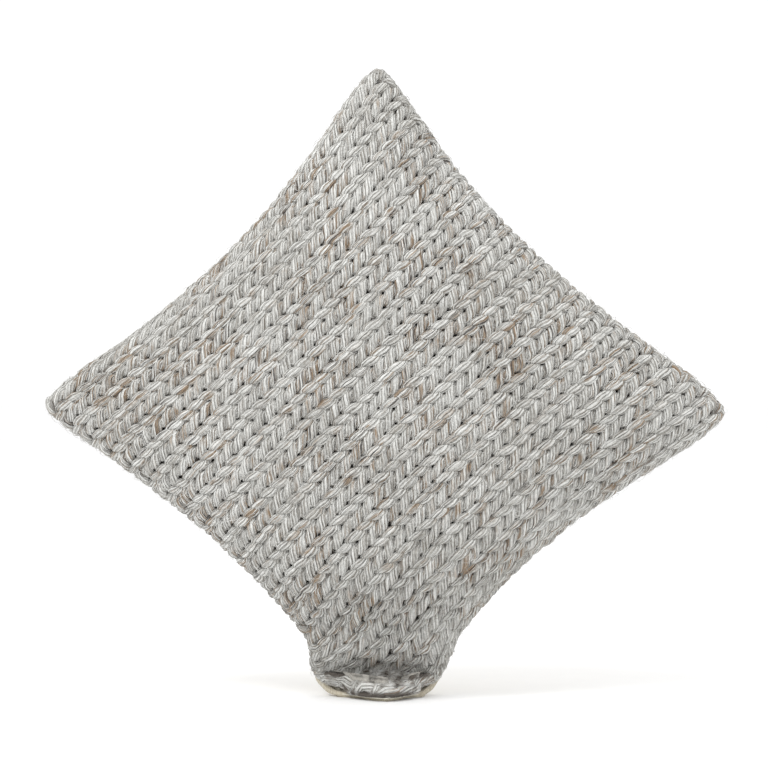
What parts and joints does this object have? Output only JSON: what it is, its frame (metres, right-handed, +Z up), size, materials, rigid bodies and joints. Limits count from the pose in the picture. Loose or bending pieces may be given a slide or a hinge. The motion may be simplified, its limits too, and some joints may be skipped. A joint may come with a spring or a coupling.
{
  "type": "throw pillow",
  "caption": "Square throw pillow standing on one crushed corner: chunky knitted wool front, woven cream back with a zip, loose stuffed insert.",
  "frame": {"origin": "on the surface that the pillow stands on, under the middle of its outer box", "axes": "+Z up; the knitted front faces -Y; +X to the right of someone who looks at the front"},
  "size_m": [0.5983, 0.1598, 0.5544],
  "materials": {
    "knit": "chunky heathered undyed wool, matt and slightly hairy",
    "lining": "plain woven cotton, matt",
    "back": "cream woven cotton canvas, matt",
    "binding": "cotton twill tape, matt",
    "thread": "spun polyester sewing thread, slight sheen",
    "zip_tape": "woven polyester tape, matt",
    "zip_teeth": "nylon, satin",
    "zip_metal": "die-cast zinc, satin nickel plate",
    "label": "blank woven satin tape",
    "insert_case": "fine white cambric, matt",
    "fill": "loose white polyester fibre"
  },
  "bodies": {
    "cover": {"knit_front": "knit", "front_lining": "lining", "back_main": "back", "back_strip": "back", "seam_binding": "binding", "seam_thread": "thread", "zip_tape_main": "zip_tape", "zip_tape_strip": "zip_tape", "zip_teeth_main": "zip_teeth", "zip_teeth_strip": "zip_teeth", "zip_top_stops": "zip_metal", "zip_bottom_stop": "zip_metal", "zip_stitches": "thread", "zip_bar_tacks": "thread", "care_label": "label", "insert_case_front": "insert_case", "insert_case_back": "insert_case", "insert_seam": "thread", "insert_fill": "fill"},
    "slider": {"zip_slider": "zip_metal"},
    "pull": {"zip_pull": "zip_metal"}
  },
  "joints": [
    {"name": "zip_travel", "type": "hinge", "parent": "cover", "child": "slider", "pos_m": [0.0862, -0.56013, 0.16991], "axis": [-0.6488, -0.4067, 0.6431], "range_deg": [0, 27]},
    {"name": "pull_swing", "type": "hinge", "parent": "slider", "child": "pull", "pos_m": [0.00885, 0.03702, 0.46955], "axis": [0.6488, 0.4067, -0.6431], "range_deg": [0, 150]}
  ]
}
